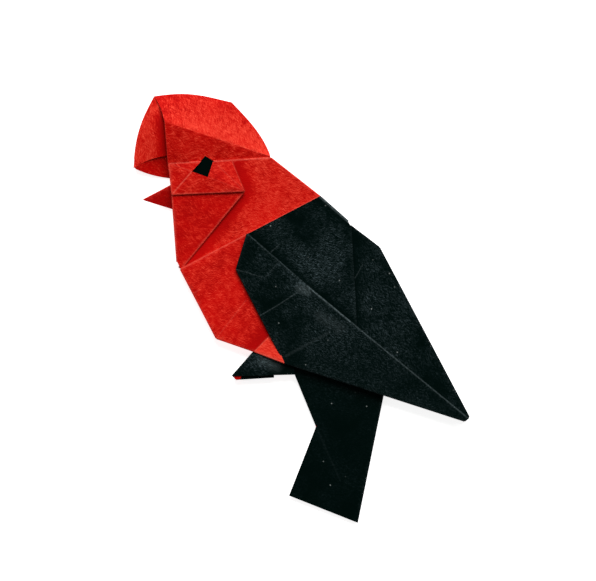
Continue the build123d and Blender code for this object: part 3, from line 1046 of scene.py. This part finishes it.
# %% Felt
felt, entry, result = group(
    "felt", [("Place", "NodeSocketVector"), ("Lay", "NodeSocketFloat"), ("Length", "NodeSocketFloat")],
    [("Fibres", "NodeSocketFloat"), ("Clouds", "NodeSocketFloat"), ("Mottle", "NodeSocketFloat")])
size = add(felt, "ShaderNodeCombineXYZ", X=entry["Length"], Y=FIBRE_WIDTH, Z=entry["Length"])
turned = add(felt, "ShaderNodeVectorRotate", {"rotation_type": "Z_AXIS", "invert": True},
             Vector=entry["Place"], Angle=entry["Lay"])
slow = add(felt, "ShaderNodeTexNoise", Vector=turned.outputs[0], Scale=1 / PATCH, Detail=2.0)
curled = add(felt, "ShaderNodeVectorMath", {"operation": "MULTIPLY_ADD"}, _0=slow.outputs["Color"],
             _1=(FIBRE_CURL,) * 3, _2=turned.outputs[0])
patches = add(felt, "ShaderNodeSeparateXYZ", Vector=slow.outputs["Color"])
strands, cover = 0.0, LEAST_COVER
for turn, patch in zip(FIBRE_TURNS, patches.outputs):
    laid = add(felt, "ShaderNodeMapping", {"vector_type": "TEXTURE"}, Vector=curled.outputs[0],
               Rotation=(0, 0, math.radians(turn)))
    pulled = add(felt, "ShaderNodeVectorMath", {"operation": "DIVIDE"}, _0=laid.outputs[0],
                 _1=size.outputs[0])
    strand = add(felt, "ShaderNodeTexNoise", Vector=pulled.outputs[0], Scale=1.0, Detail=2.0, Roughness=0.6)
    part = add(felt, "ShaderNodeMapRange", Value=patch, From_Min=PATCH_LOW, From_Max=PATCH_HIGH,
               To_Min=WEAKEST)
    strands = add(felt, "ShaderNodeMath", {"operation": "MULTIPLY_ADD"}, _0=strand.outputs["Fac"],
                  _1=part.outputs[0], _2=strands).outputs[0]
    cover = add(felt, "ShaderNodeMath", {"operation": "ADD"}, _0=part.outputs[0], _1=cover).outputs[0]
averaged = add(felt, "ShaderNodeMath", {"operation": "DIVIDE"}, _0=strands, _1=cover)
grain = add(felt, "ShaderNodeTexNoise", Vector=entry["Place"], Scale=1 / GRAIN, Detail=1.0)
mixed = add(felt, "ShaderNodeMix", Factor=GRAIN_SHARE, A=averaged.outputs[0], B=grain.outputs["Fac"])
clear = add(felt, "ShaderNodeMapRange", Value=mixed.outputs[0], From_Min=FIBRE_LOW, From_Max=FIBRE_HIGH)
clouds = add(felt, "ShaderNodeTexNoise", Vector=entry["Place"], Scale=1 / CLOUD, Detail=2.0, Roughness=0.5)
mottle = add(felt, "ShaderNodeTexNoise", Vector=turned.outputs[0], Scale=1 / MOTTLE, Detail=1.0)
felt.links.new(clear.outputs[0], result["Fibres"])
felt.links.new(clouds.outputs["Fac"], result["Clouds"])
felt.links.new(mottle.outputs["Fac"], result["Mottle"])
print("felt of fibres in", len(FIBRE_TURNS), "directions,", len(felt.nodes), "nodes")

# %% [markdown]
# ## Pale lines
# A crease that was folded and opened again leaves a rubbed line, and so does the edge of a flap. Where an
# edge faces the light, its pale line is also a painted highlight. Painting a texture would show them too, but
# a few named lines stay sharp at any size. Each one is a stretch between two points of the plan, and its mark
# fades with the distance from it. Of several lines the strongest mark counts.

# %% Pale lines
pale_line_tree, entry, result = group(
    "pale_line", [("Place", "NodeSocketVector"), ("Start", "NodeSocketVector"), ("End", "NodeSocketVector"),
                    ("Width", "NodeSocketFloat"), ("Strength", "NodeSocketFloat")],
    [("Mark", "NodeSocketFloat")])
reach = add(pale_line_tree, "ShaderNodeVectorMath", {"operation": "SUBTRACT"}, _0=entry["Place"], _1=entry["Start"])
run = add(pale_line_tree, "ShaderNodeVectorMath", {"operation": "SUBTRACT"}, _0=entry["End"], _1=entry["Start"])
along = add(pale_line_tree, "ShaderNodeVectorMath", {"operation": "DOT_PRODUCT"}, _0=reach.outputs[0], _1=run.outputs[0])
whole = add(pale_line_tree, "ShaderNodeVectorMath", {"operation": "DOT_PRODUCT"}, _0=run.outputs[0], _1=run.outputs[0])
share = add(pale_line_tree, "ShaderNodeMath", {"operation": "DIVIDE", "use_clamp": True}, _0=along.outputs["Value"],
            _1=whole.outputs["Value"])
nearest = add(pale_line_tree, "ShaderNodeVectorMath", {"operation": "SCALE"}, _0=run.outputs[0], Scale=share.outputs[0])
gap = add(pale_line_tree, "ShaderNodeVectorMath", {"operation": "DISTANCE"}, _0=reach.outputs[0], _1=nearest.outputs[0])
mark = add(pale_line_tree, "ShaderNodeMapRange", {"interpolation_type": "SMOOTHSTEP"}, Value=gap.outputs["Value"],
           From_Min=0.0, From_Max=entry["Width"], To_Min=entry["Strength"], To_Max=0.0)
pale_line_tree.links.new(mark.outputs[0], result["Mark"])


def paled(tree, place, lines):
    """The strongest mark of all these lines, given as points, width and strength."""
    mark = None
    for *points, width, strength in lines:
        for start, end in zip(points, points[1:]):
            line = add(tree, "ShaderNodeGroup", {"node_tree": pale_line_tree}, Place=place, Start=(*start, 0),
                       End=(*end, 0), Width=width, Strength=strength)
            if mark:
                line = add(tree, "ShaderNodeMath", {"operation": "MAXIMUM"}, _0=mark, _1=line.outputs[0])
            mark = line.outputs[0]
    return mark


def pale_edges(tree, plan, fibres, colour, pale, lines, wear, least, most):
    """Makes a colour pale along lines, as rubbed dye and as painted highlight, and at the worn outside of
    folds; the fibres leave between least and most.
    """
    worn = add(tree, "ShaderNodeAttribute", {"attribute_name": "worn"})
    edge = add(tree, "ShaderNodeMath", {"operation": "MULTIPLY_ADD"}, _0=worn.outputs["Fac"], _1=wear,
               _2=paled(tree, plan, lines))
    broken = add(tree, "ShaderNodeMapRange", Value=fibres["Fibres"], To_Min=least, To_Max=most)
    share = add(tree, "ShaderNodeMath", {"operation": "MULTIPLY", "use_clamp": True}, _0=edge.outputs[0],
                _1=broken.outputs[0])
    mixed = add(tree, "ShaderNodeMix", {"data_type": "RGBA"}, _0=share.outputs[0], _6=colour, _7=pale)
    return mixed.outputs[2]


print("a rubbed line takes", len(pale_line_tree.nodes), "nodes")

# %% [markdown]
# ## Paper
# Both sides and the cut edge are one felt in other dyes, so they begin and end alike. One material with a
# switch for the colour would do, but three short ones are easier to read. Each begins with the place in
# millimetres and the felt there, and ends with a matt surface that the fibres roughen.

# %% Paper
RELIEF = 0.05                     # height of a fibre above the paper


def start_paper(name, fineness, length):
    """The material of one side, cleared, with the plan in millimetres and its felt."""
    tree = shown.materials[name].node_tree
    tree.nodes.clear()
    place = add(tree, "ShaderNodeTexCoord").outputs["Object"]
    solid = add(tree, "ShaderNodeVectorMath", {"operation": "SCALE"}, _0=place, Scale=1 / MM)
    plan = add(tree, "ShaderNodeVectorMath", {"operation": "MULTIPLY"}, _0=solid.outputs[0], _1=(1, 1, 0))
    fine = add(tree, "ShaderNodeVectorMath", {"operation": "SCALE"}, _0=solid.outputs[0], Scale=fineness)
    lay = add(tree, "ShaderNodeAttribute", {"attribute_name": "lay"})
    fibres = add(tree, "ShaderNodeGroup", {"node_tree": felt}, Place=fine.outputs[0], Lay=lay.outputs["Fac"],
                 Length=length)
    return tree, plan.outputs[0], fibres.outputs


def finish_paper(tree, colour, fibres, bump, roughness, shine):
    """Surface and output of a paper material."""
    relief = add(tree, "ShaderNodeBump", Strength=bump, Distance=RELIEF * MM, Height=fibres["Fibres"])
    surface = add(tree, "ShaderNodeBsdfPrincipled", Base_Color=colour, Roughness=roughness,
                  Specular_IOR_Level=shine, Normal=relief.outputs[0])
    add(tree, "ShaderNodeOutputMaterial", Surface=surface.outputs[0])


print(f"fibres stand {RELIEF} mm above the paper")

# %% [markdown]
# ## Creases of the red side
# Round the eye, across the breast and along the borders of the flaps the red paper was creased, and its dye
# is rubbed pale there. Along the edges that face the light, the top of cheek and neck, the shoulder and the
# side edge of the crest, the pale line is also a painted highlight. Tiny ridges could be modelled, but a
# crease is only a few fibres wide. So each is a line, mostly between corners that the bird has anyway, with a
# width in millimetres and a strength.

# %% Creases of the red side
brow_crease = Vector((-20.9, 35.6))
opened_breast = Vector((-13.9, 1.9))
nick_start, nick_end = Vector((-27.4, 3.5)), Vector((-25.6, 4.5))
ridge_middle = Vector((-21.1, 42.3))
red_wear_and_highlight_lines = [
    (brow_front, eye_front, 0.26, 0.22),
    (eye_front, cheek_front, 0.30, 0.55),
    (brow_crease, cheek_tip, 0.28, 0.22),  # an opened crease down to the cheek's tip
    (cheek_top, cheek_tip, 0.24, 0.25),
    (eye_low, cheek_tip, 0.26, 0.12),
    (breast_low, opened_breast, 0.26, 0.18),  # an opened crease across the breast
    (nick_start, nick_end, 0.26, 0.20),
    # rubbed dye and painted highlight along the lit edge of the shoulder
    (throat_tip, nape, 0.28, 0.26),
    (shoulder, wing_front, wing_heel, 0.26, 0.30),
    (throat_tip, cheek_tip, 0.26, 0.20),
    # these two: rubbed dye and painted highlight along the lit top edges of cheek and neck
    (brow_front, eye_brow, 0.36, 0.50),
    (eye_back, brow_back, 0.32, 0.48),
    (brow_front, cheek_front, jaw, 0.26, 0.24),
    (cheek_front, cheek_tip, 0.26, 0.20),
    (belly_point, belly_rise, 0.30, 0.35),
    (belly_point, wing_heel, 0.40, 0.40),
    (ridge_middle, ridge_end, 0.26, 0.12),
    # rubbed dye and painted highlight along the lit side edge of the crest
    (crest_peak, crest_edge_low, 0.26, 0.15),
]
print(len(red_wear_and_highlight_lines), "rubbed lines on the red side")

# %% [markdown]
# ## Red side
# Long-fibred craft paper, dyed and pressed: a deep red ground under paler fibres with whitish tips, which are
# partly their own colour and partly a painted sheen. One red would look like plastic, so there are three,
# from ground to tip. Where a panel was pressed, its fibres are fewer and lower; where it was held, they cover
# more of the ground, and a mottle makes that uneven. Part of that looseness is painted light: fewer fibres
# along covering edges and on the beak are painted shade, and more on the belly facet and above the crest's
# crease are painted highlight.

# %% Red side
# Red-dyed long-fibred paper: to the eye a warm, even, matt red that breaks into pale threads close up.
RED_FINENESS = 1.6
RED_LENGTH = 2.1                  # at that fineness a fibre is about 1.3 mm long
CLOUD_LOW, CLOUD_HIGH = 0.3, 0.7  # noise between which clouds and mottle go from least to most
MOTTLE_LEAST, MOTTLE_MOST = 0.82, 1.18
TIP_POWER = 3.0                   # the higher, the smaller the pale tips
RED_WEAR = 0.3                    # how much paler the outside of a fold is

tree, plan, fibres = start_paper("red_fibre_paper", RED_FINENESS, RED_LENGTH)
thin = add(tree, "ShaderNodeMapRange", Value=fibres["Clouds"], From_Min=CLOUD_LOW, From_Max=CLOUD_HIGH)
ground = add(tree, "ShaderNodeMix", {"data_type": "RGBA"}, _0=thin.outputs[0], _6=linear("#A00000"),
             _7=linear("#C00201"))
uneven = add(tree, "ShaderNodeMapRange", Value=fibres["Mottle"], From_Min=CLOUD_LOW, From_Max=CLOUD_HIGH,
             To_Min=MOTTLE_LEAST, To_Max=MOTTLE_MOST)
fuzz = add(tree, "ShaderNodeAttribute", {"attribute_name": "fuzz"})
loose = add(tree, "ShaderNodeMath", {"operation": "MULTIPLY"}, _0=fuzz.outputs["Fac"], _1=uneven.outputs[0])
lowest = add(tree, "ShaderNodeMath", {"operation": "SUBTRACT"}, _0=1.0, _1=loose.outputs[0])
highest = add(tree, "ShaderNodeMath", {"operation": "ADD"}, _0=lowest.outputs[0], _1=1.0)
highest = add(tree, "ShaderNodeMath", {"operation": "MAXIMUM"}, _0=highest.outputs[0], _1=1.0)
cover = add(tree, "ShaderNodeMapRange", Value=fibres["Fibres"], From_Min=lowest.outputs[0],
            From_Max=highest.outputs[0])
tips = add(tree, "ShaderNodeMath", {"operation": "POWER"}, _0=cover.outputs[0], _1=TIP_POWER)
threads = add(tree, "ShaderNodeMix", {"data_type": "RGBA"}, _0=cover.outputs[0], _6=ground.outputs[2],
              _7=linear("#E21D0E"))
# whitish tips: partly the fibres' own colour, partly a painted sheen
tipped = add(tree, "ShaderNodeMix", {"data_type": "RGBA"}, _0=tips.outputs[0], _6=threads.outputs[2],
             _7=linear("#F4533E"))
red = pale_edges(tree, plan, fibres, tipped.outputs[2], linear("#EE6A58"), red_wear_and_highlight_lines, RED_WEAR,
                least=0.4, most=1.2)
finish_paper(tree, red, fibres, bump=0.6, roughness=0.65, shine=0.05)
print("red side:", len(tree.nodes), "nodes")

# %% [markdown]
# ## Creases of the black side
# The wing was folded and opened often. Its creases are fine grey lines, and a few marks are broad and faint,
# where the paper was polished. Along the diagonal edge, which catches the light, the grey line is also a
# painted highlight. They are made as on the red side. Marks that lie on no fold of the bird have points of
# their own, read off the photograph.

# %% Creases of the black side
heel_crease = [Vector((-11.5, -2.6)), Vector((-5.4, 1.0)), diagonal_front]
black_wear_and_highlight_lines = [
    # the three lines along the diagonal: rubbed crease and painted highlight where the edge catches the light
    (shoulder, diagonal_front, 0.18, 0.16),
    (diagonal_front, diagonal_middle, 0.28, 0.55),
    (diagonal_middle, diagonal_end, 0.24, 0.32),
    (*heel_crease, 0.26, 0.20),
    (wing_front, Vector((-9.9, 7.7)), 0.24, 0.15),                # crease in from the wing's front
    (Vector((-8.9, 7.8)), Vector((-6.2, 10.9)), 0.24, 0.12),      # and on, bent up
    (Vector((-7.6, 14.0)), Vector((-5.4, 16.0)), 0.24, 0.16),     # nick on the upper flap
    (Vector((13.4, 7.5)), Vector((15.4, 11.0)), 0.22, 0.13),      # nick on the back flap
    (Vector((-3.9, -12.0)), Vector((7.1, -6.0)), 0.60, 0.08),     # faint crease up from the heel
    (Vector((4.6, -2.0)), Vector((9.6, -5.0)), 2.4, 0.10),        # polished place below the diagonal
    (Vector((-0.4, 5.1)), Vector((1.4, 4.2)), 1.8, 0.32),         # scuff at the corner of the diagonal
    (Vector((-9.4, -12.8)), Vector((-6.4, -14.2)), 2.6, 0.20),    # scuff on the foot
    (nape, back_end, 0.5, 0.40),
    (tail_waist, Vector((9.6, -43.0)), 0.40, 0.025),              # faint crease down the tail
]
print(len(black_wear_and_highlight_lines), "rubbed lines on the black side")

# %% [markdown]
# ## Black side
# The same felt dyed black, with a cool green cast. Pure black would swallow every fold. Grey fibres stand up
# where the wing was held, while the tail is smooth, so the looseness of a panel says how many show; fewer
# show along the edges that cover a flap, which is painted shade. A few specks of dust lie on it. They could
# be tiny spheres; one dot in each cell of a Voronoi pattern, bright or dark by chance, is enough at their
# size.

# %% Black side
# Black-dyed long-fibred paper: to the eye a soft, cool, matt black that turns grey where its fibres stand up.
BLACK_FINENESS = 1.7
BLACK_LENGTH = 1.4                # at that fineness a fibre is about 0.8 mm long
THIN_LOW, THIN_HIGH = 0.35, 0.65  # noise between which the clouds of grey fibres come up
THIN_LEAST = 0.05
STAND_POWER = 2.6                 # the higher, the fewer fibres are grey
BLACK_WEAR = 0.06
DUST = 11.0                       # millimetres between specks
SPECK_EDGE, SPECK_CORE = 0.019, 0.010  # shares of that spacing

tree, plan, fibres = start_paper("black_fibre_paper", BLACK_FINENESS, BLACK_LENGTH)
thin = add(tree, "ShaderNodeMapRange", Value=fibres["Clouds"], From_Min=THIN_LOW, From_Max=THIN_HIGH,
           To_Min=THIN_LEAST, To_Max=1.0)
stand = add(tree, "ShaderNodeMath", {"operation": "POWER"}, _0=fibres["Fibres"], _1=STAND_POWER)
cover = add(tree, "ShaderNodeMath", {"operation": "MULTIPLY"}, _0=stand.outputs[0], _1=thin.outputs[0])
fuzz = add(tree, "ShaderNodeAttribute", {"attribute_name": "fuzz"})
cover = add(tree, "ShaderNodeMath", {"operation": "MULTIPLY"}, _0=cover.outputs[0], _1=fuzz.outputs["Fac"])
threads = add(tree, "ShaderNodeMix", {"data_type": "RGBA"}, _0=cover.outputs[0], _6=linear("#000A08"),
              _7=linear("#4C5B5F"))
greyed = pale_edges(tree, plan, fibres, threads.outputs[2], linear("#6A7779"), black_wear_and_highlight_lines, BLACK_WEAR,
                   least=0.25, most=1.3)
dust = add(tree, "ShaderNodeTexVoronoi", {"voronoi_dimensions": "2D"}, Vector=plan, Scale=1 / DUST)
speck = add(tree, "ShaderNodeMapRange", Value=dust.outputs["Distance"], From_Min=SPECK_EDGE,
            From_Max=SPECK_CORE)
pale = add(tree, "ShaderNodeMath", {"operation": "MULTIPLY"}, _0=speck.outputs[0], _1=dust.outputs["Color"])
black = add(tree, "ShaderNodeMix", {"data_type": "RGBA"}, _0=pale.outputs[0], _6=greyed,
            _7=linear("#7C8380"))
finish_paper(tree, black.outputs[2], fibres, bump=0.4, roughness=0.6, shine=0.01)
print("black side:", len(tree.nodes), "nodes")

# %% [markdown]
# ## Cut edge
# At its cut edge the sheet shows both dyes at once, too thin to tell apart. Two stripes could be drawn
# there, but at 0.2 mm they blend to a dark brownish red. So the rim of the Solidify modifier gets that
# colour, a little uneven.

# %% Cut edge
# Cut paper: dull and rougher than its faces, so the eye takes the edge as a thin dark line.
EDGE_FINENESS, EDGE_LENGTH = 1.6, 1.5

tree, plan, fibres = start_paper("cut_paper_edge", EDGE_FINENESS, EDGE_LENGTH)
both_dyes = add(tree, "ShaderNodeMix", {"data_type": "RGBA"}, _0=fibres["Clouds"], _6=linear("#3A0D0A"),
                _7=linear("#7A2018"))
finish_paper(tree, both_dyes.outputs[2], fibres, bump=0.3, roughness=0.8, shine=0.1)
print("cut edge:", len(tree.nodes), "nodes")

# %% [markdown]
# ## Table
# The bird lies on plain white card. A white world without a floor would look as clean, but no shadow
# would then say that the bird lies on something. So the card is one large face just under the paper. It
# glows a little, as a light table does, because the photograph's ground is white while its shadows are
# faint.

# %% Table
TABLE_REACH = 1.5                 # metres from its middle to its edge
TABLE_GAP = 0.02                  # millimetres below the paper
TABLE_GLOW = 0.8

card_mesh = bmesh.new()
bmesh.ops.create_grid(card_mesh, x_segments=1, y_segments=1, size=TABLE_REACH)
table = bpy.data.meshes.new("table")
card_mesh.to_mesh(table)
card_mesh.free()
floor = bpy.data.objects.new("table", table)
floor.location.z = -TABLE_GAP * MM
bpy.context.scene.collection.objects.link(floor)
table.materials.append(bpy.data.materials.new("white_card"))  # uncoated card: white and without any shine
table.materials[0].use_nodes = True
card = table.materials[0].node_tree.nodes["Principled BSDF"].inputs
card["Base Color"].default_value = linear("#F3F3F2")
card["Roughness"].default_value = 0.9
card["Emission Color"].default_value = linear("#FFFFFF")
card["Emission Strength"].default_value = TABLE_GLOW
print(f"table {2 * TABLE_REACH} m wide")

# %% [markdown]
# ## Light
# The facets of the head are bright above and dark below, so the light comes from the top of the picture.
# A sun would draw hard edges. One broad disk, like a soft box, gives the soft shadows of the photograph,
# and a weak white world fills them.

# %% Light
KEY_ELEVATION = 47.0              # degrees
KEY_TURN = 10.0                   # degrees to the right of the top of the picture
KEY_DISTANCE = 2.0                # metres
KEY_SIZE = 1.6                    # metres
KEY_POWER = 49.0                  # watts
FILL = 0.2

key = bpy.data.objects.new("key_light", bpy.data.lights.new("key_light", "AREA"))
key.data.shape = "DISK"
key.data.size = KEY_SIZE
key.data.energy = KEY_POWER
rise, turn = math.radians(KEY_ELEVATION), math.radians(KEY_TURN)
toward = Vector((math.sin(turn) * math.cos(rise), math.cos(turn) * math.cos(rise), math.sin(rise)))
key.location = toward * KEY_DISTANCE
key.rotation_euler = toward.to_track_quat("Z", "Y").to_euler()
bpy.context.scene.collection.objects.link(key)
world = bpy.data.worlds.new("studio")
world.use_nodes = True
world.node_tree.nodes["Background"].inputs["Color"].default_value = linear("#FFFFFF")
world.node_tree.nodes["Background"].inputs["Strength"].default_value = FILL
bpy.context.scene.world = world
bpy.context.scene.view_settings.view_transform = "Standard"
print("key light at", [round(value, 2) for value in key.location], "m")
